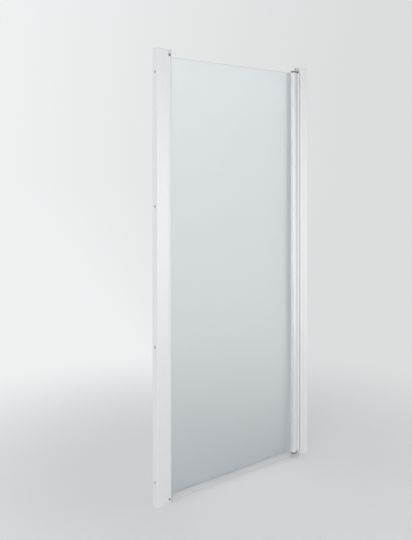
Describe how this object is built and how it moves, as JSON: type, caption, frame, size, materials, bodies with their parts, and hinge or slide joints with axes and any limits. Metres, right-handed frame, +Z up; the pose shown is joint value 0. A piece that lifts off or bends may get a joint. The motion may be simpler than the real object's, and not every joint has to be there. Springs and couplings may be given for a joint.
{
  "type": "pivot shower door",
  "caption": "Framed niche shower door: frosted glass leaf on a round-nosed pivot profile, hooked grip rail, telescoping wall channels and jambs, magnetic seal.",
  "frame": {"origin": "on the hinge-side wall, at floor level, in the middle plane of the glass", "axes": "+X across the opening from the hinge side to the closing side, +Y into the shower, +Z up"},
  "size_m": [0.95, 0.0575, 1.95],
  "materials": {
    "satin_aluminium": "satin anodised, brightened, fine extrusion lines",
    "bright_aluminium": "bright anodised, glossy",
    "cast_metal": "satin chromed zinc",
    "steel": "stainless, turned",
    "frosted_glass": "toughened, acid-etched",
    "grey_plastic": "moulded, light grey",
    "dark_plastic": "moulded, dark grey",
    "white_plastic": "moulded, glossy",
    "bush_plastic": "self-lubricating plastic, near black",
    "gasket_rubber": "soft, translucent grey",
    "clear_seal": "clear plastic seal, slightly cloudy",
    "magnet_seal": "magnetic rubber in a pale grey sleeve",
    "pile": "grey brush pile"
  },
  "bodies": {
    "frame": {"hinge_wall_channel": "satin_aluminium", "hinge_jamb": "satin_aluminium", "hinge_channel_cap": "grey_plastic", "hinge_fixing_screws": "steel", "hinge_screw_caps": "white_plastic", "hinge_pile_seals": "pile", "top_pivot_plate": "cast_metal", "bottom_pivot_plate": "cast_metal", "pivot_plate_screws": "steel", "top_pivot_pin": "steel", "bottom_pivot_pin": "steel", "thrust_washer": "white_plastic", "latch_wall_channel": "satin_aluminium", "latch_jamb": "satin_aluminium", "latch_top_cap": "grey_plastic", "latch_fixing_screws": "steel", "latch_screw_caps": "white_plastic", "latch_magnet_strip": "magnet_seal", "latch_strip_stops": "dark_plastic"},
    "leaf": {"leaf_hinge_profile": "satin_aluminium", "upper_bush_bearer": "grey_plastic", "lower_bush_bearer": "grey_plastic", "upper_bush": "bush_plastic", "lower_bush": "bush_plastic", "glass_pane": "frosted_glass", "hinge_side_gasket": "gasket_rubber", "grip_side_gasket": "gasket_rubber", "closing_profile": "satin_aluminium", "grip_profile": "bright_aluminium", "grip_top_cap": "dark_plastic", "grip_bottom_cap": "dark_plastic", "edge_caps": "grey_plastic", "grip_cap_screws": "steel", "leaf_magnet_strip": "magnet_seal", "bottom_seal_clip": "clear_seal", "bottom_seal_fin": "clear_seal"}
  },
  "joints": [
    {"name": "leaf_swing", "type": "hinge", "parent": "frame", "child": "leaf", "pos_m": [0.07, 0, 0], "axis": [0, 0, -1], "range_deg": [0, 100]}
  ]
}
